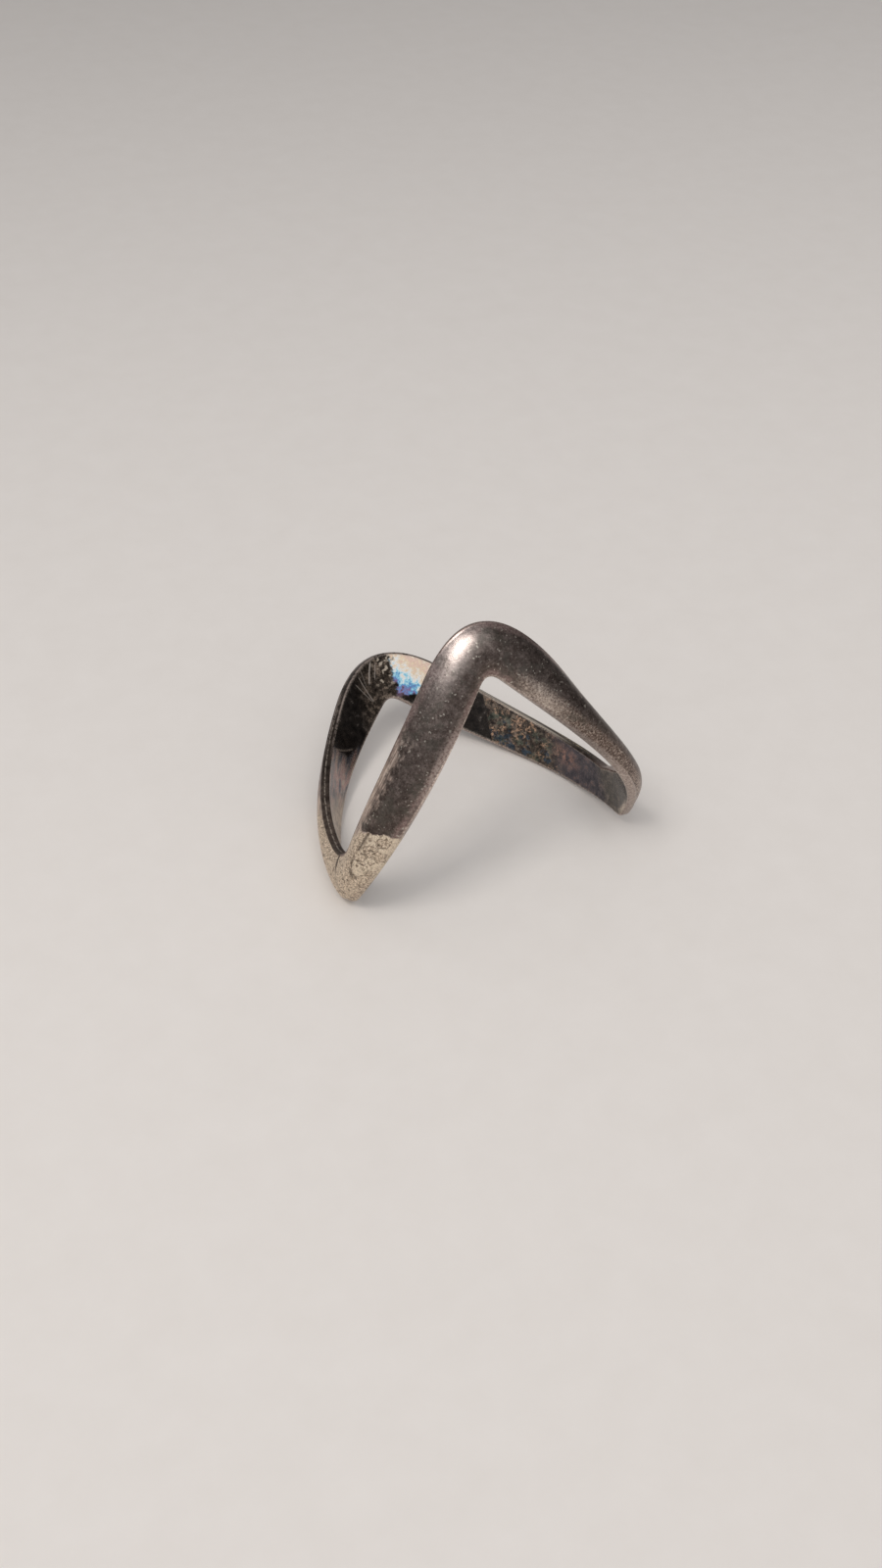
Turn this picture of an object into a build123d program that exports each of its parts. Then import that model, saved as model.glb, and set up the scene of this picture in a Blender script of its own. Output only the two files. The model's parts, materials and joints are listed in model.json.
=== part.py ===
"""One-piece silver finger ring: a half-round band bent into a zigzag crown and closed by one solder seam.

The band runs round a finger-sized bore. It has two low tips, left and right, and two high peaks, front and rear.
The bore axis leans back by rest_tilt, so that the two rear legs lie on the table. Millimetres, +Z up, with the
origin on the table under the middle of the ring and the front peak towards -Y.
"""

from build123d import *
from itertools import pairwise
import math
import os

# ---- driving dimensions -------------------------------------------------------------------------------
bore_radius = 8.65  # inside of the ring, a 17.3 mm finger size
bore_length = 14.4  # along the bore, from the left tip's foot to the front peak's top
edge_thickness = 0.56  # wall at the thin edges of the band
crown_thickness = 1.06  # wall at the middle of the domed outer face
edge_break = 0.12  # bevel worn on the four long corners

# Each edge of the band turns at the left tip, front peak, right tip and rear peak, in this order. A corner is an
# angle round the bore in degrees, a height along the bore, and the share of a leg that it takes to turn. A curl is
# how much a leg steepens towards its peak; the legs are the front left, front right, rear right and rear left one.
lower_corners = ((0.0, 0.0, 0.07), (83.5, 11.4, 0.045), (180.0, 0.65, 0.03), (278.5, 10.3, 0.05))
upper_corners = ((5.0, 2.95, 0.12), (83.5, 14.4, 0.29), (185.0, 3.65, 0.03), (278.5, 13.2, 0.29))
lower_curls = (0.61, 0.41, 0.24, 0.1)
upper_curls = (0.28, 1.25, 0.32, 0.27)

seam_angle = 4.0  # where the band's ends meet, at the left tip, just under its notch
seam_width = 0.2  # solder between the two ends
seam_slab = (5.0, 7.0)  # across the band's thickness and its height, well past both
rest_tilt = 38.7  # lean of the bore axis towards the rear, degrees from the vertical
rest_roll = 0.75  # lean of the bore axis towards the left

bore_sectors = 16  # equal sectors that the bore wall is divided into
section_depth = 0.6  # how far a section reaches inside the bore before the bore is cut
cut_margin = 1.0  # how far the bore's cut runs past the band
station_gap = 5.5  # largest angle between two sections of a leg

rest_turn = Location((0, 0, 0), (0, -rest_roll, 0)) * Location((0, 0, 0), (-rest_tilt, 0, 0))


# ---- shape of the band --------------------------------------------------------------------------------
def ease(share, foot, head):
    """A ramp from 0 to 1 whose first and last stretches are parabolas."""
    slope = 1 / (1 - foot / 2 - head / 2)
    if share < foot:
        return slope * share**2 / (2 * foot)
    if share > 1 - head:
        return 1 - slope * (1 - share) ** 2 / (2 * head)
    return slope * (share - foot / 2)


def edge_height(angle, corners, curls):
    """Height along the bore of one edge of the band at an angle round the bore."""
    first_angle, first_height, first_round = corners[0]
    angle = first_angle + (angle - first_angle) % 360
    closed = (*corners, (first_angle + 360, first_height, first_round))
    leg = next(i for i in range(len(corners)) if angle <= closed[i + 1][0])
    tip, peak = (closed[leg], closed[leg + 1]) if leg % 2 == 0 else (closed[leg + 1], closed[leg])
    ramp = ease((angle - tip[0]) / (peak[0] - tip[0]), tip[2], peak[2])
    return tip[1] + (peak[1] - tip[1]) * (ramp + curls[leg] * (ramp**2 - ramp))


def section_plane(angle):
    """Half-plane through the bore axis: local X points outwards and local Y along the bore."""
    turn = math.radians(180 + angle)
    outwards = (math.cos(turn), math.sin(turn), 0)
    upright = Plane((0, 0, 0), x_dir=outwards, z_dir=(outwards[1], -outwards[0], 0))
    return Plane(rest_turn * upright.location)


def band_section(angle):
    """Half-round profile of the band with bevelled corners, reaching section_depth inside the bore."""
    lower = edge_height(angle, lower_corners, lower_curls)
    upper = edge_height(angle, upper_corners, upper_curls)
    edge_radius = bore_radius + edge_thickness
    inside = bore_radius - section_depth
    reach = section_depth + edge_break
    with BuildSketch(section_plane(angle)) as section:
        with BuildLine():
            ThreePointArc(
                (edge_radius, lower + edge_break),
                (bore_radius + crown_thickness, (lower + upper) / 2),
                (edge_radius, upper - edge_break),
            )
            Polyline(
                (edge_radius, upper - edge_break),
                (edge_radius - edge_break, upper),
                (bore_radius + edge_break, upper),
                (inside, upper - reach),
                (inside, lower + reach),
                (bore_radius + edge_break, lower),
                (edge_radius - edge_break, lower),
                (edge_radius, lower + edge_break),
            )
        make_face()
    return section.sketch.face()


# ---- closed band, before the solder seam is let in ----------------------------------------------------
turning_angles = sorted({corner[0] for corner in lower_corners + upper_corners})
sector = 360 / bore_sectors
with BuildPart() as closed_band:
    for start, end in pairwise((*turning_angles, turning_angles[0] + 360)):
        steps = math.ceil((end - start) / station_gap)
        shares = [(1 - math.cos(math.pi * step / steps)) / 2 for step in range(steps + 1)]
        loft([band_section(start + share * (end - start)) for share in shares], ruled=True)
    for index in range(bore_sectors):
        with BuildSketch(Plane(rest_turn * Plane.XY.location)):
            with BuildLine():
                arc = CenterArc((0, 0), bore_radius, index * sector, sector)
                Line((0, 0), arc @ 0)
                Line((0, 0), arc @ 1)
            make_face()
        extrude(amount=bore_length + cut_margin, mode=Mode.SUBTRACT, clean=False)

box = closed_band.part.bounding_box()
seat = Location((-box.center().X, -box.center().Y, -box.min.Z))  # sets the resting ring on the origin
seam_plane = Plane(seat * section_plane(seam_angle).location)
tip_middle = edge_height(seam_angle, upper_corners, upper_curls) / 2


def shape_seam(mode):
    """Cut or keep the slab of the seam, a thin slice across the left tip."""
    with BuildSketch(seam_plane.offset(-seam_width / 2)) as slab:
        with Locations((bore_radius, tip_middle)):
            Rectangle(*seam_slab)
    extrude(slab.sketch, amount=seam_width, mode=mode, clean=False)


# ---- band: the zigzag strip, with a plain end each side of the seam ------------------------------------
with BuildPart() as band:
    add(closed_band.part.moved(seat))
    shape_seam(Mode.SUBTRACT)

# ---- solder seam: fills the joint across the full section of the left tip ------------------------------
with BuildPart() as solder_seam:
    add(closed_band.part.moved(seat))
    shape_seam(Mode.INTERSECT)

# ---- write the pieces ---------------------------------------------------------------------------------
band.part.label = "band"
solder_seam.part.label = "solder_seam"
os.makedirs("parts", exist_ok=True)
for piece in (band, solder_seam):
    export_step(piece.part, f"parts/{piece.part.label}.step")

bore_place = seat * rest_turn
bore_middle = bore_place * Location((0, 0, bore_length / 2))
print("bore middle", bore_middle.position, "bore axis", Plane(bore_place).z_dir)
print("box", Compound(children=[band.part, solder_seam.part]).bounding_box())
print("volumes", band.part.volume, solder_seam.part.volume)
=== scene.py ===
"""Looks of the tarnished silver finger ring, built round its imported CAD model.

The ring's own cylindrical frame is used throughout: around is the angle in degrees from the left tip through the
front peak, height is the distance along the bore in millimetres, and depth is the distance outwards from the bore
wall. The finger_bore mount of the record places that frame in the row frame.
"""

import json
import math

import bpy
import numpy as np
from mathutils import Euler, Matrix, Vector, noise


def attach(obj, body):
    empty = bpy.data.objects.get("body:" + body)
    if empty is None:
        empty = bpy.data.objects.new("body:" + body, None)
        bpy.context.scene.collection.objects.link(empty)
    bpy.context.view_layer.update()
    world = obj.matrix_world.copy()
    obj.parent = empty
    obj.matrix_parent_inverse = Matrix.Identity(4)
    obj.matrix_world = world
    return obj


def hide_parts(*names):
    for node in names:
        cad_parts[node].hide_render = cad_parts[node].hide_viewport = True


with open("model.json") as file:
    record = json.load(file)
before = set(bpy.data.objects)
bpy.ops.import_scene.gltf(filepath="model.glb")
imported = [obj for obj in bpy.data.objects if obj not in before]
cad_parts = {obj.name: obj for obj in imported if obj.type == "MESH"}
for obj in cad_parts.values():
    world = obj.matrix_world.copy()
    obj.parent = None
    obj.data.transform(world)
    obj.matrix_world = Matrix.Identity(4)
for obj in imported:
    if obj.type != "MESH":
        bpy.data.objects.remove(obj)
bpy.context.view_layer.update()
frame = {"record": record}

MM = 0.001

# ---- ring, as in the CAD model ------------------------------------------------------------------------
mount = next(m for m in frame["record"]["mounts"] if m["name"] == "finger_bore")
BORE_RADIUS = mount["dims"]["r_mm"]
BORE_LENGTH = mount["dims"]["length_mm"]
ARC = math.radians(1) * BORE_RADIUS  # millimetres along the bore wall in a degree
EDGE_THICKNESS = 0.56
CROWN_THICKNESS = 1.06
# corners are (angle, height, share of a leg), at the left tip, front peak, right tip and rear peak
LOWER_CORNERS = ((0.0, 0.0, 0.07), (83.5, 11.4, 0.045), (180.0, 0.65, 0.03), (278.5, 10.3, 0.05))
UPPER_CORNERS = ((5.0, 2.95, 0.12), (83.5, 14.4, 0.29), (185.0, 3.65, 0.03), (278.5, 13.2, 0.29))
LOWER_CURLS = (0.61, 0.41, 0.24, 0.1)
UPPER_CURLS = (0.28, 1.25, 0.32, 0.27)
SEAM_ANGLE, SEAM_WIDTH = 4.0, 0.2

# ---- mesh and relief, in millimetres -------------------------------------------------------------------
AROUND_STEPS, SEAM_STEPS = 900, 4
INNER_STEPS, OUTER_STEPS, WALL_STEPS, ROUND_STEPS = 26, 34, 7, 4
INNER_ROUND = 0.14  # worn radius between the inner face and an edge wall
OUTER_ROUND = 0.12
INNER, UPPER_WALL, OUTER, LOWER_WALL = range(4)
WAVE_SIZE, WAVE_LIFT = 1.9, 0.012  # hand-made unevenness of the outer face
SCAB_LIFT = 0.035  # height of the flakes on the pale tip
WORN_LIFT, WORN_REACH = 0.13, 0.42  # rounding of the pale tip's lower outer corner
BUMP_STRENGTH, BUMP_HEIGHT = 0.35, 0.03 * MM

# ---- palette: ramps as (noise value, colour) stops, then single colours --------------------------------
SULPHIDE = ((0.34, (0.045, 0.033, 0.028)), (0.49, (0.120, 0.094, 0.083)), (0.64, (0.27, 0.222, 0.200)))
# the rubbed ramp also colours the painted highlight on the front peak's shoulder, and the burnished ramp is that
# painted highlight
RUBBED_AND_HIGHLIT = ((0.30, (0.155, 0.104, 0.096)), (0.52, (0.28, 0.204, 0.187)), (0.72, (0.45, 0.36, 0.325)))
BURNISHED_HIGHLIGHT = ((0.30, (0.36, 0.315, 0.295)), (0.70, (0.60, 0.55, 0.52)))
GOLDEN = ((0.36, (0.045, 0.031, 0.026)), (0.50, (0.165, 0.122, 0.102)), (0.64, (0.48, 0.395, 0.34)))
CREAM = ((0.36, (0.17, 0.13, 0.11)), (0.50, (0.46, 0.385, 0.335)), (0.64, (0.80, 0.70, 0.60)))
BARED = ((0.37, (0.14, 0.100, 0.070)), (0.46, (0.46, 0.365, 0.275)), (0.58, (0.88, 0.76, 0.615)))
FLAKES = ((0.33, (0.36, 0.29, 0.215)), (0.50, (0.78, 0.67, 0.53)), (0.62, (0.90, 0.80, 0.65)))
TAIL = ((0.36, (0.12, 0.088, 0.076)), (0.48, (0.38, 0.295, 0.250)), (0.60, (0.70, 0.58, 0.50)))
SOOT = ((0.35, (0.014, 0.012, 0.011)), (0.60, (0.040, 0.033, 0.029)), (0.72, (0.16, 0.14, 0.125)))
WORN = ((0.34, (0.22, 0.18, 0.155)), (0.50, (0.46, 0.385, 0.320)), (0.64, (0.72, 0.63, 0.52)))
STAINS = (
    (0.38, (0.060, 0.075, 0.115)),
    (0.48, (0.22, 0.215, 0.22)),
    (0.56, (0.38, 0.24, 0.235)),
    (0.64, (0.42, 0.37, 0.32)),
)
BROWN = ((0.38, (0.018, 0.014, 0.011)), (0.50, (0.080, 0.063, 0.050)), (0.62, (0.34, 0.265, 0.205)))
CHAR = ((0.38, (0.018, 0.014, 0.012)), (0.50, (0.080, 0.062, 0.050)), (0.62, (0.26, 0.20, 0.155)))
MOSS = ((0.38, (0.030, 0.036, 0.030)), (0.60, (0.175, 0.185, 0.140)))
NAVY = ((0.36, (0.016, 0.026, 0.040)), (0.62, (0.070, 0.105, 0.140)))
VIOLET = ((0.35, (0.040, 0.038, 0.048)), (0.55, (0.100, 0.086, 0.094)), (0.70, (0.22, 0.150, 0.135)))
DUST = ((0.30, (0.035, 0.030, 0.027)), (0.50, (0.095, 0.082, 0.070)), (0.70, (0.21, 0.175, 0.145)))
RAINBOW = (
    (0.00, (0.13, 0.08, 0.12)),
    (0.07, (0.30, 0.22, 0.45)),
    (0.15, (0.11, 0.34, 0.70)),
    (0.28, (0.42, 0.84, 1.00)),
    (0.38, (0.98, 1.00, 1.00)),
    (0.55, (0.97, 0.80, 0.58)),
    (0.70, (0.90, 0.66, 0.56)),
    (0.88, (0.93, 0.82, 0.66)),
)
DITCH = ((0.35, (0.022, 0.016, 0.013)), (0.60, (0.055, 0.042, 0.034)), (0.75, (0.14, 0.11, 0.09)))
FRONT_WALL = ((0.3, (0.16, 0.12, 0.11)), (0.6, (0.34, 0.26, 0.23)))
UNDERSIDE = ((0.28, (0.16, 0.120, 0.104)), (0.50, (0.38, 0.305, 0.270)), (0.68, (0.66, 0.57, 0.50)))
SOLDER = ((0.30, (0.20, 0.155, 0.115)), (0.50, (0.50, 0.42, 0.33)), (0.70, (0.70, 0.62, 0.51)))
GREEN_CAST = (0.095, 0.090, 0.076)
# painted highlight on the front-left leg's lower rim:
RIM_HIGHLIGHT = (0.50, 0.42, 0.38)
PALE_DOT = (0.52, 0.48, 0.42)
PIT_BROWN = (0.075, 0.052, 0.038)
CRUMB = (0.66, 0.57, 0.46)
COPPER_SPECK = (0.56, 0.36, 0.24)
ROSE = (0.32, 0.185, 0.150)
SCRATCH = (0.60, 0.53, 0.47)
# lighter rounded edges of the inner face, partly wear and partly a painted highlight:
WORN_RIM_AND_HIGHLIGHT = (0.46, 0.395, 0.34)
WALL_LINE = (0.56, 0.48, 0.40)
# painted edge highlights along the rounded corners of the rear legs' upper wall:
RIGHT_CORNER_HIGHLIGHT = (0.68, 0.60, 0.50)
REAR_CORNER_HIGHLIGHT = (0.52, 0.43, 0.38)
GOLD_LINE = (0.50, 0.40, 0.24)
TIP_BEVEL = (0.60, 0.50, 0.40)
SOLDER_WORN = (0.10, 0.075, 0.06)
PAPER_DARK, PAPER_LIGHT = (0.785, 0.750, 0.710), (0.835, 0.803, 0.768)
ROOM = ((0.45, (0.70, 0.69, 0.70)), (0.90, (0.33, 0.32, 0.32)))

# scratches on the inner face: two (around, height) ends, half width, bow and strength
SCRATCHES = (
    ((284.4, 12.85), (287.2, 11.5), 0.07, 0.08, 1.0),
    ((282.2, 12.7), (284.0, 11.7), 0.04, 0.05, 0.7),
    ((291.9, 12.1), (287.0, 10.4), 0.042, 0.03, 0.8),
    ((294.3, 11.7), (287.6, 10.4), 0.035, 0.0, 0.65),
    ((290.2, 12.5), (289.0, 11.4), 0.03, 0.0, 0.5),
    ((316.0, 8.3), (304.0, 7.9), 0.09, 0.10, 0.4),
)

# ---- stage: lights as (name, place, size, power, colour), in metres and watts, and the camera ----------
LIGHTS = (
    ("lamp", (-0.170, -0.068, 0.325), 0.11, 0.33, (1.0, 0.95, 0.91)),
    ("window", (-0.08, -0.20, 0.42), 0.45, 0.38, (1.0, 0.98, 0.95)),
)
FLOOR_SIZE = 3
ROOM_STRENGTH = 0.80
CAMERA_LENS = 40.5
CAMERA_PLACE = (-0.034736, -0.071901, 0.074973)
CAMERA_TURN = (47.140, -2.766, -22.855)  # degrees


# ---- shape of the band ---------------------------------------------------------------------------------
def ease(share, foot, head):
    """A ramp from 0 to 1 whose first and last stretches are parabolas."""
    slope = 1 / (1 - foot / 2 - head / 2)
    if share < foot:
        return slope * share**2 / (2 * foot)
    if share > 1 - head:
        return 1 - slope * (1 - share) ** 2 / (2 * head)
    return slope * (share - foot / 2)


def edge_height(angle, corners, curls):
    """Height along the bore of one edge of the band at an angle round the bore."""
    first_angle, first_height, first_round = corners[0]
    angle = first_angle + (angle - first_angle) % 360
    closed = (*corners, (first_angle + 360, first_height, first_round))
    leg = next(i for i in range(len(corners)) if angle <= closed[i + 1][0])
    tip, peak = (closed[leg], closed[leg + 1]) if leg % 2 == 0 else (closed[leg + 1], closed[leg])
    ramp = ease((angle - tip[0]) / (peak[0] - tip[0]), tip[2], peak[2])
    return tip[1] + (peak[1] - tip[1]) * (ramp + curls[leg] * (ramp**2 - ramp))


def profile(angle):
    """Closed outline of the band at an angle: (depth, height, face) triples from the foot of the inner face."""
    lower = edge_height(angle, LOWER_CORNERS, LOWER_CURLS)
    upper = edge_height(angle, UPPER_CORNERS, UPPER_CURLS)
    inner = [(0.0, h, INNER) for h in np.linspace(lower + INNER_ROUND, upper - INNER_ROUND, INNER_STEPS)]
    quarter = np.linspace(0, math.pi / 2, ROUND_STEPS + 1)[1:]
    inner_top = [(INNER_ROUND * (1 - math.cos(a)), upper - INNER_ROUND * (1 - math.sin(a))) for a in quarter]
    wall = [(d, upper) for d in np.linspace(INNER_ROUND, EDGE_THICKNESS - OUTER_ROUND, WALL_STEPS + 1)[1:]]
    outer_top = [
        (EDGE_THICKNESS - OUTER_ROUND * (1 - math.sin(a)), upper - OUTER_ROUND * (1 - math.cos(a)))
        for a in quarter[:-1]
    ]
    upper_side = [(d, h, UPPER_WALL) for d, h in inner_top + wall + outer_top]
    lower_side = [(d, lower + upper - h, LOWER_WALL) for d, h, _ in reversed(upper_side)]
    # the dome is a circular arc through both outer corners and the crown
    chord, bulge = (upper - lower) / 2 - OUTER_ROUND, CROWN_THICKNESS - EDGE_THICKNESS
    dome_radius = (chord**2 + bulge**2) / (2 * bulge)
    swing = math.asin(chord / dome_radius)
    centre = CROWN_THICKNESS - dome_radius
    dome = [
        (centre + dome_radius * math.cos(a), (lower + upper) / 2 + dome_radius * math.sin(a), OUTER)
        for a in np.linspace(swing, -swing, OUTER_STEPS)
    ]
    return inner + upper_side + dome + lower_side


def ring_to_row():
    """Matrix from the ring's own frame, in millimetres, to the row frame, in metres."""
    axis = Vector(mount["axis"]).normalized()
    sideways = Vector((0, 1, 0)).cross(axis).normalized()
    backwards = axis.cross(sideways)
    turn = Matrix((sideways, backwards, axis)).transposed().to_4x4()
    sink = Matrix.Translation((0, 0, -BORE_LENGTH / 2))
    return Matrix.Translation(Vector(mount["pos_m"])) @ turn @ Matrix.Scale(MM, 4) @ sink


def smooth(low, high, value):
    """0 below low, 1 above high and a smooth step between."""
    t = np.clip((value - low) / (high - low), 0, 1)
    return t * t * (3 - 2 * t)


def speckle(points, size, seed):
    """Noise of about -1 to 1 with features of the given size in millimetres."""
    return np.array([noise.noise(Vector(p) / size + Vector((seed, 0, 0))) for p in points])


def patches(around, height, across, wobble):
    """Signed fields in millimetres, positive inside each patch of tarnish, and dim, the outer face's brightness."""
    turn = np.where(around > 180, around - 360, around)  # degrees from the left tip, both ways
    # outside, the left tip is pale: a hard edge across the front leg, a soft one up the rear leg
    brim = np.interp(
        turn,
        [-60, -42, -30, -12, 5, 18, 30.8, 35.6, 40.9, 48],
        [2.2, 5.6, 6.3, 5.7, 5.1, 4.9, 4.35, 4.1, 3.7, 3.2],
    )
    blur = np.interp(turn, [-20, 8, 24, 30], [1.6, 1.1, 0.6, 0.06])
    outer_pale = np.minimum((brim + 0.30 * wobble - height) / blur, (60 - np.abs(turn)) * ARC)
    # a thin tail of it runs on up the front leg along the upper edge
    tail = np.minimum((across - 0.50 + 0.25 * wobble) * 1.1, (49 - turn) * ARC * 0.35)
    outer_pale = np.where((turn > 0) & (turn < 60), np.maximum(outer_pale, tail), outer_pale)
    # inside, the rear-left leg is black above a curved edge and pale below it
    curve = np.interp(around, [290, 303, 307, 310, 317, 330, 364], [8.0, 7.8, 7.65, 7.75, 8.6, 9.0, 9.0])
    inner_pale = np.where(around > 285, curve + 0.12 * wobble - height, (26 - around) * ARC * 0.5)
    # an iridescent patch on the rear peak, and a black stretch below and right of it
    oil = np.minimum.reduce([(275.8 - around) * ARC, height - 10.25, (around - 247) * ARC]) + 0.2 * wobble
    black = np.minimum((around - 239.6) * ARC, (262 - around) * ARC) + 0.08 * wobble
    # towards the right tip the inner face is violet, then grey
    violet, grey = (214 - around) * ARC, (190 - around) * ARC
    dim = np.interp(
        around,
        [0, 34, 48, 58, 72, 86, 98, 112, 130, 160, 185, 364],
        [0.8, 0.68, 0.82, 0.95, 0.95, 0.88, 0.7, 0.74, 0.8, 1.0, 1.0, 0.8],
    )
    return dict(
        outer_pale=outer_pale, inner_pale=inner_pale, oil=oil, black=black, violet=violet, dim=dim, grey=grey
    )


def scabs(points, around, across):
    """Raised flakes, up to 1, and pits, down to -1, of the bared silver at the left tip."""
    # the flakes lie along the lower half of the front leg, the rest is only pitted
    zone = smooth(13, 21, around) * smooth(56, 46, around) * smooth(0.25, -0.25, across)
    flakes = smooth(-0.14, 0.06, speckle(points, 0.9, 15.0) + 0.35 * speckle(points, 0.3, 19.0))
    flakes *= 0.85 + 0.15 * speckle(points, 0.2, 5.0)
    pits = smooth(0.33, 0.50, speckle(points, 0.21, 23.0))
    return zone * flakes - (0.7 + 0.5 * zone) * pits


def ring_piece(name, angles, material):
    """Mesh of the stretch of band over the given angles, closed by flat ends."""
    outline = np.array([profile(angle) for angle in angles])  # angle, point, (depth, height, face)
    rows, count = outline.shape[:2]
    depth, height, face = (outline[:, :, i].ravel() for i in range(3))
    around = np.repeat(angles, count)
    top, bottom = outline[:, :, 1].max(axis=1), outline[:, :, 1].min(axis=1)
    middle, half = np.repeat((top + bottom) / 2, count), np.repeat((top - bottom) / 2, count)
    across = (height - middle) / half  # -1 at the lower edge, 1 at the upper edge
    turn = np.radians(180 + around)
    radius = BORE_RADIUS + depth
    points = np.stack([radius * np.cos(turn), radius * np.sin(turn), height], axis=-1)
    fields = patches(around, height, across, speckle(points, 0.5, 41.0) + 0.5 * speckle(points, 0.22, 43.0))
    fields["scab"] = scabs(points, around, across) * smooth(-0.3, 0.6, fields["outer_pale"])

    # hand-made unevenness and the scabs are real relief, and the pale tip's lower outer corner is worn round
    outwards = np.stack([np.cos(turn), np.sin(turn), np.zeros_like(turn)], axis=-1)
    domed = np.clip((depth - 0.3) / 0.3, 0, 1) * (1 - np.abs(across) ** 6)
    lift = domed * (WAVE_LIFT * speckle(points, WAVE_SIZE, 3.0) + SCAB_LIFT * fields["scab"])
    corner = np.hypot(depth - EDGE_THICKNESS, height - (middle - half))
    worn = WORN_LIFT * np.clip(1 - corner / WORN_REACH, 0, 1) ** 1.5 * smooth(-0.5, 1.0, fields["outer_pale"])
    points += outwards * (lift - worn)[:, None]
    points[:, 2] += worn

    # the two ends have corners of their own, so that they stay flat
    points = np.concatenate([points, points[:count], points[-count:]])
    place = ring_to_row()
    placed = points @ np.array(place.to_3x3()).T + np.array(place.translation)
    faces = []
    for i in range(rows - 1):
        for k in range(count):
            n = (k + 1) % count
            faces.append((i * count + k, (i + 1) * count + k, (i + 1) * count + n, i * count + n))
    first = rows * count
    faces.append(tuple(range(first, first + count)))
    faces.append(tuple(range(first + 2 * count - 1, first + count - 1, -1)))
    mesh = bpy.data.meshes.new(name)
    mesh.from_pydata(placed.tolist(), [], faces)
    mesh.shade_smooth()
    fields.update(around=around, height=height, across=across, depth=depth)
    for label, kind in (("inner", INNER), ("upper_wall", UPPER_WALL), ("lower_wall", LOWER_WALL)):
        fields[label] = (face == kind).astype(float)
    for label, values in fields.items():
        values = np.concatenate([values, values[:count], values[-count:]])
        mesh.attributes.new(label, "FLOAT", "POINT").data.foreach_set("value", values.astype(np.float32))
    mesh.materials.append(material)
    piece = bpy.data.objects.new(name, mesh)
    bpy.context.scene.collection.objects.link(piece)
    return piece


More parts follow.
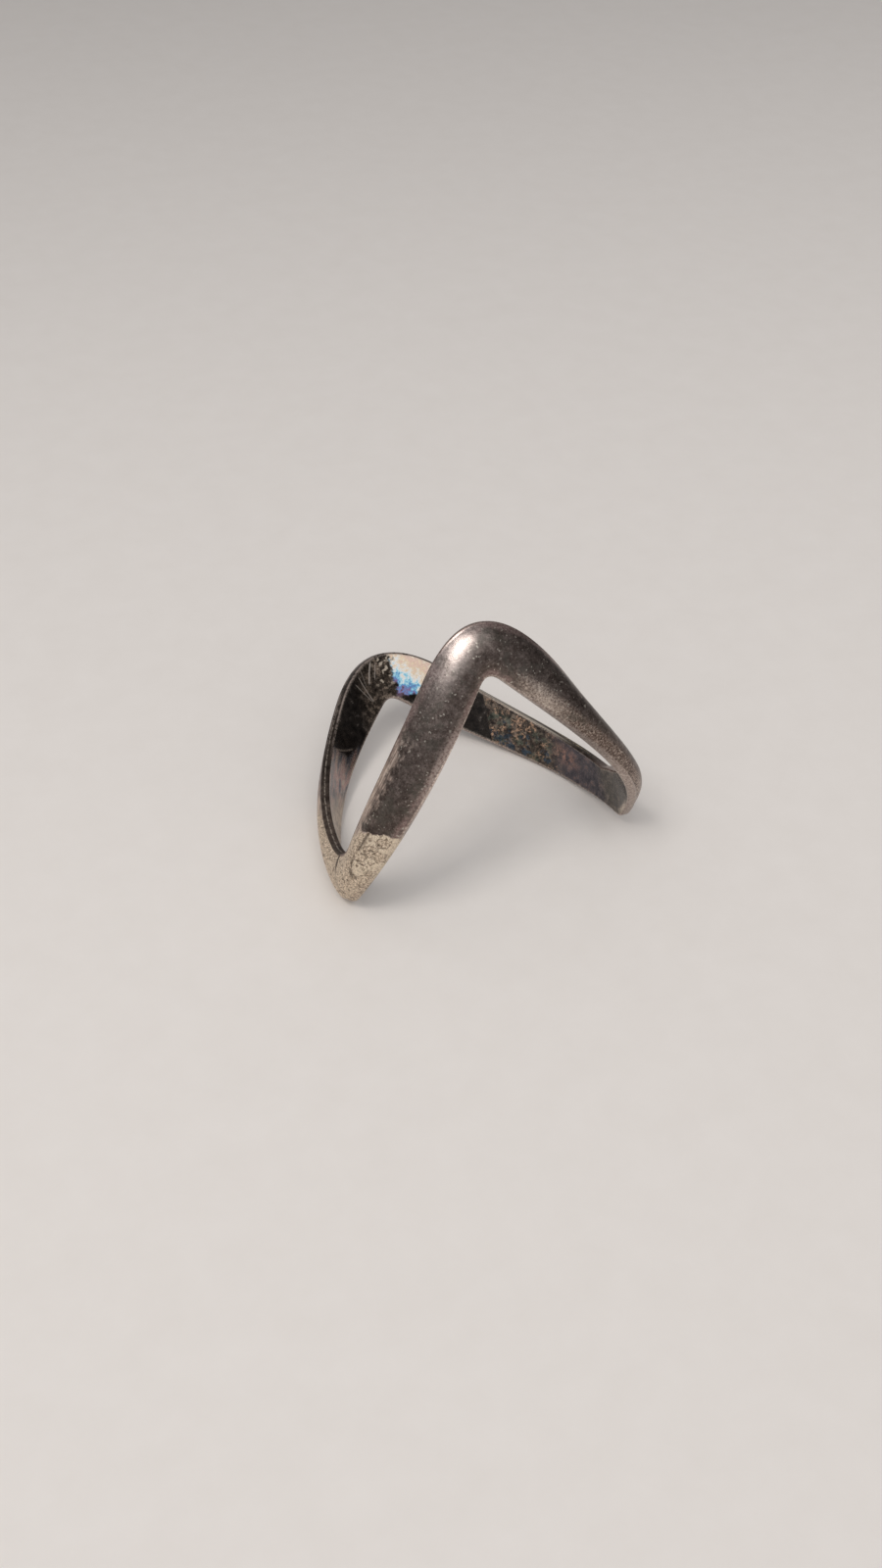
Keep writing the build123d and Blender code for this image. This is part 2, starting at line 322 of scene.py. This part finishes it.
# ---- node shorthand ------------------------------------------------------------------------------------
class Recipe:
    """Adds nodes to a material. Every method returns an output socket, and takes sockets or constants."""

    def __init__(self, name):
        self.material = bpy.data.materials.new(name)
        self.material.use_nodes = True
        self.tree = self.material.node_tree
        self.shader = self.tree.nodes["Principled BSDF"]
        self.place = self.tree.nodes.new("ShaderNodeTexCoord").outputs["Object"]

    def feed(self, socket, value):
        if isinstance(value, bpy.types.NodeSocket):
            self.tree.links.new(value, socket)
        elif isinstance(value, tuple) and len(value) == 3 and socket.type == "RGBA":
            socket.default_value = (*value, 1)
        else:
            socket.default_value = value

    def paint(self, label, value):
        """Set an input of the material's shader."""
        self.feed(self.shader.inputs[label], value)

    def math(self, operation, *values, clamp=False):
        node = self.tree.nodes.new("ShaderNodeMath")
        node.operation = operation
        node.use_clamp = clamp
        for socket, value in zip(node.inputs, values):
            self.feed(socket, value)
        return node.outputs[0]

    def add(self, a, b):
        return self.math("ADD", a, b)

    def sub(self, a, b):
        return self.math("SUBTRACT", a, b)

    def mul(self, a, b):
        return self.math("MULTIPLY", a, b)

    def larger(self, a, b):
        return self.math("MAXIMUM", a, b)

    def field(self, name):
        node = self.tree.nodes.new("ShaderNodeAttribute")
        node.attribute_name = name
        return node.outputs["Fac"]

    def step(self, value, low, high, top=1.0):
        """Smooth step from 0 to top while value goes from low to high."""
        node = self.tree.nodes.new("ShaderNodeMapRange")
        node.interpolation_type = "SMOOTHSTEP"
        self.feed(node.inputs["Value"], value)
        for label, number in (("From Min", low), ("From Max", high), ("To Min", 0.0), ("To Max", top)):
            node.inputs[label].default_value = number
        return node.outputs["Result"]

    def band(self, value, centre, width):
        """1 at centre, falling to 0 at width on both sides."""
        return self.step(self.math("ABSOLUTE", self.sub(value, centre)), width, 0.0)

    def lengthwise(self):
        """Place along and across the band, as a vector in metres."""
        node = self.tree.nodes.new("ShaderNodeCombineXYZ")
        self.feed(node.inputs[0], self.mul(self.field("around"), ARC * MM))
        self.feed(node.inputs[1], self.mul(self.field("across"), 1.7 * MM))
        return node.outputs[0]

    def noise(self, size, detail=3.0, rough=0.55, seed=0.0, stretch=(1, 1, 1), place=None):
        """Fractal noise of 0 to 1 with features of the given size in millimetres."""
        mapping = self.tree.nodes.new("ShaderNodeMapping")
        self.feed(mapping.inputs["Vector"], place or self.place)
        mapping.inputs["Location"].default_value = (seed, 0.37 * seed, 0)
        mapping.inputs["Scale"].default_value = [s / (size * MM) for s in stretch]
        node = self.tree.nodes.new("ShaderNodeTexNoise")
        self.feed(node.inputs["Vector"], mapping.outputs[0])
        node.inputs["Scale"].default_value = 1.0
        node.inputs["Detail"].default_value = detail
        node.inputs["Roughness"].default_value = rough
        return node.outputs["Fac"]

    def ragged(self, value, fuzz, amount):
        """A value whose edges are made uneven by a noise."""
        return self.add(value, self.mul(self.sub(fuzz, 0.5), amount))

    def mix(self, share, low, high):
        node = self.tree.nodes.new("ShaderNodeMix")
        node.data_type = "RGBA"
        self.feed(node.inputs["Factor"], share)
        self.feed(node.inputs[6], low)
        self.feed(node.inputs[7], high)
        return node.outputs[2]

    def scaled(self, color, factor):
        node = self.tree.nodes.new("ShaderNodeVectorMath")
        node.operation = "SCALE"
        self.feed(node.inputs[0], color)
        self.feed(node.inputs["Scale"], factor)
        return node.outputs[0]

    def blend(self, share, low, high):
        """Mix of two numbers."""
        return self.add(low, self.mul(share, self.sub(high, low)))

    def ramp(self, value, stops):
        node = self.tree.nodes.new("ShaderNodeValToRGB")
        self.feed(node.inputs["Fac"], value)
        points = node.color_ramp.elements
        while len(points) < len(stops):
            points.new(0.5)
        for point, (position, color) in zip(points, stops):
            point.position = position
            point.color = (*color, 1)
        return node.outputs["Color"]

    def stroke(self, start, end, width, bow):
        """1 on a scratch between two (around, height) points of the inner face, 0 away from it."""
        along = self.mul(self.sub(self.field("around"), start[0]), ARC)
        up = self.sub(self.field("height"), start[1])
        run, rise = (end[0] - start[0]) * ARC, end[1] - start[1]
        length = math.hypot(run, rise)
        run, rise = run / length, rise / length
        travel = self.add(self.mul(along, run), self.mul(up, rise))
        aside = self.sub(self.mul(up, run), self.mul(along, rise))
        bend = self.mul(self.mul(travel, self.sub(length, travel)), bow)
        line = self.step(self.math("ABSOLUTE", self.sub(aside, bend)), width, width * 0.3)
        inside = self.mul(self.step(travel, -0.1, 0.15), self.step(travel, length + 0.1, length - 0.15))
        return self.mul(line, inside)


# ---- the band's metal ----------------------------------------------------------------------------------
class Silver(Recipe):
    """Recipe of the band's metal, with the fields and noises that its faces share."""

    def __init__(self):
        super().__init__("tarnished_silver")
        self.across, self.around = self.field("across"), self.field("around")
        self.height, self.depth = self.field("height"), self.field("depth")
        self.scab, self.tip = self.field("scab"), self.field("outer_pale")
        self.blotch = self.noise(1.1, 4, 0.6, 2.0)
        self.mottle = self.noise(0.42, 4, 0.65, 5.0)
        self.grain = self.noise(0.13, 3, 0.7, 9.0)
        self.sand = self.noise(0.075, 2, 0.7, 14.0)


def outer_face(r):
    """Brown-grey sulphide, rubbed to a pinkish tone towards both edges, with painted highlights on the front peak's
    shoulder and the front-left leg's lower rim.
    """
    speck = r.add(r.mul(r.mottle, 0.45), r.add(r.mul(r.grain, 0.35), r.mul(r.sand, 0.2)))
    tarnish = r.scaled(r.ramp(speck, SULPHIDE), r.field("dim"))
    rim = r.step(r.math("ABSOLUTE", r.across), 0.45, 0.98)
    # round the front peak the upper half of the band is burnished and brightened: a painted highlight that spreads
    # the lamp's highlight over the shoulder
    shoulder_highlight = r.mul(r.band(r.add(r.around, r.mul(r.blotch, 8)), 78, 15), r.step(r.across, -0.2, 0.5))
    rubbing_and_highlight = r.add(r.ragged(rim, r.blotch, 0.9), r.mul(shoulder_highlight, 0.9))
    skin = r.mix(r.step(rubbing_and_highlight, 0.35, 0.95, 0.85), tarnish, r.ramp(r.grain, RUBBED_AND_HIGHLIT))
    skin = r.mix(r.mul(shoulder_highlight, 0.62), skin, r.ramp(r.grain, BURNISHED_HIGHLIGHT))

    # the front-right leg is dark along its middle, and golden along its foot and towards the right tip
    right_leg = r.mul(r.step(r.around, 88, 96), r.step(r.around, 190, 180))
    to_tip = r.step(r.ragged(r.around, r.mottle, 40), 112, 160)
    foot = r.step(r.ragged(r.across, r.mottle, 0.7), -0.15, -0.6)
    lane = r.band(r.ragged(r.across, r.mottle, 0.6), 0.15, 0.75)
    golden = r.math("SUBTRACT", r.larger(r.mul(to_tip, 0.9), foot), r.mul(lane, 0.7), clamp=True)
    fleck = r.add(r.mul(r.grain, 0.6), r.mul(r.sand, 0.4))
    gold = r.scaled(r.ramp(fleck, GOLDEN), r.add(1.0, r.step(r.around, 140, 172, 0.75)))
    skin = r.mix(r.mul(right_leg, golden), skin, gold)

    # a painted highlight on the lower rim of the front-left leg, a greenish cast, a cream foot right of the front
    # peak, pale dots
    lower_rim_highlight = r.mul(r.step(r.across, -0.62, -0.92), r.band(r.around, 61, 16))
    skin = r.mix(r.mul(lower_rim_highlight, r.step(r.grain, 0.35, 0.55, 0.8)), skin, RIM_HIGHLIGHT)
    cast = r.step(r.noise(0.9, 4, 0.65, 47.0), 0.50, 0.62, 0.45)
    skin = r.mix(r.mul(cast, r.step(r.around, 132, 112)), skin, GREEN_CAST)
    foothill = r.mul(r.band(r.around, 101, 11), r.step(r.add(r.across, r.mul(r.mottle, 0.5)), 0.05, -0.45))
    skin = r.mix(r.mul(foothill, 0.9), skin, r.ramp(fleck, CREAM))
    dots = r.step(r.noise(0.16, 1, 0.4, 31.0), 0.66, 0.73, 0.8)
    return r.mix(r.mul(dots, r.step(r.blotch, 0.38, 0.55)), skin, PALE_DOT)


def bared_tip(r):
    """Bared, scabby silver of the left tip, with dark pits, and brown streaks where it fades."""
    grit = r.add(r.mul(r.sand, 0.65), r.mul(r.grain, 0.35))
    bare = r.mix(r.step(r.scab, 0.42, 0.70, 0.85), r.ramp(grit, BARED), r.ramp(grit, FLAKES))
    pit = r.step(r.add(r.mul(r.grain, 0.5), r.mul(r.mottle, 0.5)), 0.45, 0.36)
    pit = r.larger(r.mul(pit, 0.6), r.step(r.scab, -0.1, -0.6, 0.6))
    gap = r.band(r.scab, 0.36, 0.30)  # round each flake
    bare = r.mix(r.larger(pit, r.mul(gap, 0.75)), bare, PIT_BROWN)
    tail = r.mul(r.step(r.tip, 0.9, 0.2), r.step(r.around, 14, 24))
    streaks = r.noise(0.16, 4, 0.7, 77.0, (0.16, 1, 1), r.lengthwise())
    return r.mix(tail, bare, r.ramp(streaks, TAIL))


def inner_face(r):
    """Black, with bare, brown, mottled, violet and grey stretches."""
    # the left tip and the foot of the rear-left leg are worn, and stained higher up
    soot = r.ramp(r.mottle, SOOT)
    drawn = r.noise(0.15, 4, 0.65, 83.0, (0.25, 1, 1), r.lengthwise())
    drawn = r.add(r.mul(drawn, 0.6), r.mul(r.mottle, 0.4))
    stains = r.ramp(r.noise(0.5, 4, 0.65, 87.0, (0.5, 1, 1), r.lengthwise()), STAINS)
    wear = r.mix(r.step(r.height, 4.3, 6.0, 0.85), r.ramp(drawn, WORN), stains)
    core = r.mix(r.step(r.ragged(r.field("inner_pale"), r.mottle, 0.8), -0.08, 0.25), soot, wear)

    # the rear peak and the head of the rear-left leg are brown, with pale crumbs towards the upper edge
    brown = r.ramp(r.add(r.mul(r.mottle, 0.6), r.mul(r.grain, 0.4)), BROWN)
    crumbs = r.mul(r.step(r.noise(0.30, 1, 0.4, 91.0), 0.57, 0.63), r.step(r.height, 10.9, 11.5))
    brown = r.mix(r.mul(crumbs, r.step(r.around, 286, 280)), brown, CRUMB)
    core = r.mix(r.mul(r.step(r.around, 270, 277), r.step(r.around, 297, 286)), core, brown)

    # the rear-right leg is charred, with mossy and navy patches and clusters of copper specks
    char = r.noise(0.34, 5, 0.72, 41.0)
    copper = r.ramp(char, CHAR)
    moss = r.step(r.noise(0.85, 4, 0.7, 45.0), 0.49, 0.56, 0.85)
    copper = r.mix(r.mul(moss, r.step(r.across, 0.8, 0.3)), copper, r.ramp(char, MOSS))
    navy = r.step(r.noise(0.75, 4, 0.7, 49.0), 0.52, 0.58, 0.9)
    copper = r.mix(r.mul(navy, r.step(r.across, 0.45, 0.05)), copper, r.ramp(char, NAVY))
    cluster = r.step(r.noise(0.8, 3, 0.6, 53.0), 0.47, 0.56)
    speckling = r.step(r.noise(0.2, 4, 0.75, 55.0), 0.50, 0.60)
    copper = r.mix(r.mul(cluster, speckling), copper, COPPER_SPECK)
    core = r.mix(r.mul(r.step(r.around, 252, 240), r.step(r.around, 176, 184)), core, copper)

    # towards the right tip it turns violet, with a rosy spot, and then dusty
    violet = r.ramp(r.mottle, VIOLET)
    rosy = r.mul(r.band(r.around, 208, 9), r.band(r.across, 0.2, 0.7))
    violet = r.mix(r.mul(rosy, r.step(char, 0.42, 0.58)), violet, ROSE)
    core = r.mix(r.step(r.add(r.field("violet"), r.mul(r.blotch, 2)), 0.2, 2.2), core, violet)
    core = r.mix(r.step(r.field("grey"), -0.5, 0.8), core, r.ramp(r.mottle, DUST))
    return r.mix(r.step(r.add(r.field("black"), r.mul(r.mottle, 0.2)), 0.05, 0.16), core, soot)


def oxide_film(r):
    """Interference colours of the thin film on the rear peak's inner face."""
    film = r.add(r.mul(r.sub(279.0, r.around), 0.034), r.mul(r.sub(r.height, 11.2), 0.22))
    film = r.ragged(film, r.noise(0.9, 3, 0.6, 57.0), 0.6)
    film = r.ragged(film, r.noise(0.3, 3, 0.7, 63.0), 0.9)
    return r.ramp(film, RAINBOW)


def upper_edge(r):
    """Dark, groove-like tarnish of the upper edge wall, with pale worn lines and painted edge highlights on its
    rounded corners, all differing from leg to leg.
    """
    ditch = r.scaled(r.ramp(r.mottle, DITCH), r.add(1.0, r.step(r.around, 318, 350, 1.2)))
    line = r.band(r.ragged(r.depth, r.mottle, 0.10), 0.27, 0.06)
    line = r.mul(line, r.step(r.grain, 0.36, 0.60))
    top = r.mix(r.mul(line, r.mul(r.step(r.around, 296, 310), 0.7)), ditch, WALL_LINE)
    # painted highlights along both rounded corners of the rear-right leg's upper wall
    corner_highlights = r.larger(r.band(r.depth, 0.10, 0.13), r.band(r.depth, 0.46, 0.12))
    right_lane = r.mul(r.step(r.around, 262, 250), r.step(r.around, 200, 216))
    top = r.mix(r.mul(corner_highlights, r.mul(right_lane, 0.8)), top, RIGHT_CORNER_HIGHLIGHT)
    # painted highlights along the rounded corners on the rear peak and the rear-left leg
    corner_sheen = r.larger(r.band(r.depth, 0.02, 0.10), r.band(r.depth, 0.40, 0.09))
    corner_sheen = r.mul(corner_sheen, r.step(r.mottle, 0.34, 0.50))
    rear_lane = r.mul(r.step(r.around, 256, 268), r.step(r.around, 326, 304))
    top = r.mix(r.mul(corner_sheen, r.mul(rear_lane, 0.6)), top, REAR_CORNER_HIGHLIGHT)
    near_tip = r.mul(r.band(r.around, 203, 14), r.step(r.grain, 0.4, 0.6))
    top = r.mix(r.mul(r.mul(r.band(r.depth, 0.32, 0.10), near_tip), 0.8), top, GOLD_LINE)
    return r.mix(r.mul(r.step(r.around, 196, 180), 0.8), top, r.ramp(r.grain, FRONT_WALL))


def lower_edge(r):
    """Pale, rubbed lower edge wall, darker on the front-right leg, and brightened on the front-left one as painted
    light, where the wall faces the shaded floor.
    """
    low = r.ramp(r.grain, UNDERSIDE)
    low = r.scaled(low, r.sub(1.0, r.mul(r.band(r.around, 118, 26), 0.4)))
    # painted light: the front-left leg's lower wall is brightened where, facing down, it sees only the shaded floor
    return r.scaled(low, r.add(1.0, r.mul(r.band(r.around, 60, 20), 0.6)))


def silver_material():
    r = Silver()
    inner, lower_wall = r.field("inner"), r.field("lower_wall")
    pale = r.step(r.ragged(r.tip, r.mottle, 1.4), -0.25, 0.35)
    skin = r.mix(pale, outer_face(r), bared_tip(r))
    oily = r.step(r.ragged(r.field("oil"), r.mottle, 0.9), -0.05, 0.22)
    core = r.mix(oily, inner_face(r), oxide_film(r))
    marks = [r.stroke(*shape) for *shape, _ in SCRATCHES]
    for mark, (*_, strength) in zip(marks, SCRATCHES):
        core = r.mix(r.mul(mark, strength), core, SCRATCH)
    # the inner face's rounded edges are lighter: partly wear, partly a painted highlight along the rounds
    worn_rim_and_highlight = r.step(r.math("ABSOLUTE", r.across), 0.84, 0.95, 0.85)
    core = r.mix(r.mul(worn_rim_and_highlight, r.step(r.grain, 0.32, 0.55)), core, WORN_RIM_AND_HIGHLIGHT)

    color = r.mix(inner, skin, core)
    color = r.mix(r.field("upper_wall"), color, upper_edge(r))
    color = r.mix(lower_wall, color, lower_edge(r))
    color = r.mix(r.mul(pale, r.mul(lower_wall, 0.85)), color, skin)
    # the foot of the right tip's inner face is a cream bevel
    bevel = r.mul(r.band(r.add(r.around, r.mul(r.mottle, 14)), 180, 9), r.step(r.across, -0.55, -0.8))
    r.paint("Base Color", r.mix(r.mul(bevel, inner), color, TIP_BEVEL))

    # oxide crusts scatter light as well as mirror it
    crust = r.larger(r.mul(oily, 0.8), r.mul(r.step(r.around, 252, 240), 0.45))
    r.paint("Metallic", r.sub(1.0, r.mul(crust, inner)))
    gloss = r.add(r.blend(inner, 0.32, 0.24), r.mul(pale, 0.14))
    r.paint("Roughness", r.larger(r.ragged(gloss, r.grain, 0.40), 0.12))

    relief = r.add(r.mul(r.grain, 0.7), r.mul(r.sand, 0.5))
    relief = r.mul(relief, r.blend(pale, 0.6, 2.2))
    for mark in marks:
        relief = r.sub(relief, r.mul(mark, 0.5))
    bump = r.tree.nodes.new("ShaderNodeBump")
    bump.inputs["Strength"].default_value = BUMP_STRENGTH
    bump.inputs["Distance"].default_value = BUMP_HEIGHT
    r.feed(bump.inputs["Height"], relief)
    r.paint("Normal", bump.outputs[0])
    return r.material


def solder_material():
    """Pitted filler metal, dark where the upper edge is worn."""
    r = Recipe("silver_solder")
    grain = r.noise(0.12, 3, 0.7, 71.0)
    worn = r.step(r.add(r.field("across"), r.mul(grain, 0.6)), 0.55, 0.95)
    r.paint("Base Color", r.mix(worn, r.ramp(grain, SOLDER), SOLDER_WORN))
    r.paint("Metallic", 1.0)
    r.paint("Roughness", r.blend(grain, 0.42, 0.62))
    return r.material


# ---- the two pieces ------------------------------------------------------------------------------------
seam_half = math.degrees(SEAM_WIDTH / 2 / BORE_RADIUS)
seam_angles = np.linspace(SEAM_ANGLE - seam_half, SEAM_ANGLE + seam_half, SEAM_STEPS + 1)
band_angles = np.linspace(SEAM_ANGLE + seam_half, SEAM_ANGLE + 360 - seam_half, AROUND_STEPS + 1)
silver_band = ring_piece("silver_band", band_angles, silver_material())
seam_fill = ring_piece("seam_fill", seam_angles, solder_material())
for piece, node, slot in (
    (silver_band, "band", "tarnished_silver"),
    (seam_fill, "solder_seam", "silver_solder"),
):
    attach(piece, "root")
    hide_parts(node)

# ---- floor: a pale sheet, darkened behind the ring by painted shade -------------------------------------
bpy.ops.mesh.primitive_plane_add(size=FLOOR_SIZE, location=(0, 0, 0))
floor = bpy.context.object
floor.name = "floor"
paper = Recipe("paper")
fibre = paper.noise(2.5, 4, 0.6, 3.0)
sheet = paper.mix(fibre, PAPER_DARK, PAPER_LIGHT)
axes = paper.tree.nodes.new("ShaderNodeSeparateXYZ")
paper.feed(axes.inputs[0], paper.place)
# painted shade: the sheet darkens towards the back, behind the ring
painted_shade_behind = paper.step(axes.outputs["Y"], -0.02, 0.22, 0.42)
paper.paint("Base Color", paper.scaled(sheet, paper.sub(1.0, painted_shade_behind)))
paper.paint("Roughness", 0.9)
floor.data.materials.append(paper.material)

# ---- the room: evenly bright, but darker to the right of the ring ---------------------------------------
world = bpy.data.worlds.new("studio")
world.use_nodes = True
sky, links = world.node_tree.nodes, world.node_tree.links
look = sky.new("ShaderNodeTexCoord").outputs["Generated"]
right = sky.new("ShaderNodeVectorMath")
right.operation = "DOT_PRODUCT"
right.inputs[1].default_value = (1, 0, 0)
links.new(look, right.inputs[0])
shade = sky.new("ShaderNodeValToRGB")
for stop, (position, color) in zip(shade.color_ramp.elements, ROOM):
    stop.position = position
    stop.color = (*color, 1)
links.new(right.outputs["Value"], shade.inputs["Fac"])
links.new(shade.outputs["Color"], sky["Background"].inputs["Color"])
sky["Background"].inputs["Strength"].default_value = ROOM_STRENGTH
bpy.context.scene.world = world
bpy.context.scene.view_settings.view_transform = "Standard"

# ---- lights, which face the ring, and camera ------------------------------------------------------------
for name, place, size, power, color in LIGHTS:
    data = bpy.data.lights.new(name, "AREA")
    data.shape = "SQUARE"
    data.size = size
    data.energy = power
    data.color = color
    light = bpy.data.objects.new(name, data)
    light.location = place
    light.rotation_euler = (-Vector(place)).to_track_quat("-Z", "Y").to_euler()
    bpy.context.scene.collection.objects.link(light)

camera = bpy.data.objects.new("camera", bpy.data.cameras.new("camera"))
camera.data.lens = CAMERA_LENS
camera.data.clip_start = 0.001
camera.location = CAMERA_PLACE
camera.rotation_euler = Euler([math.radians(v) for v in CAMERA_TURN])
bpy.context.scene.collection.objects.link(camera)
bpy.context.scene.camera = camera
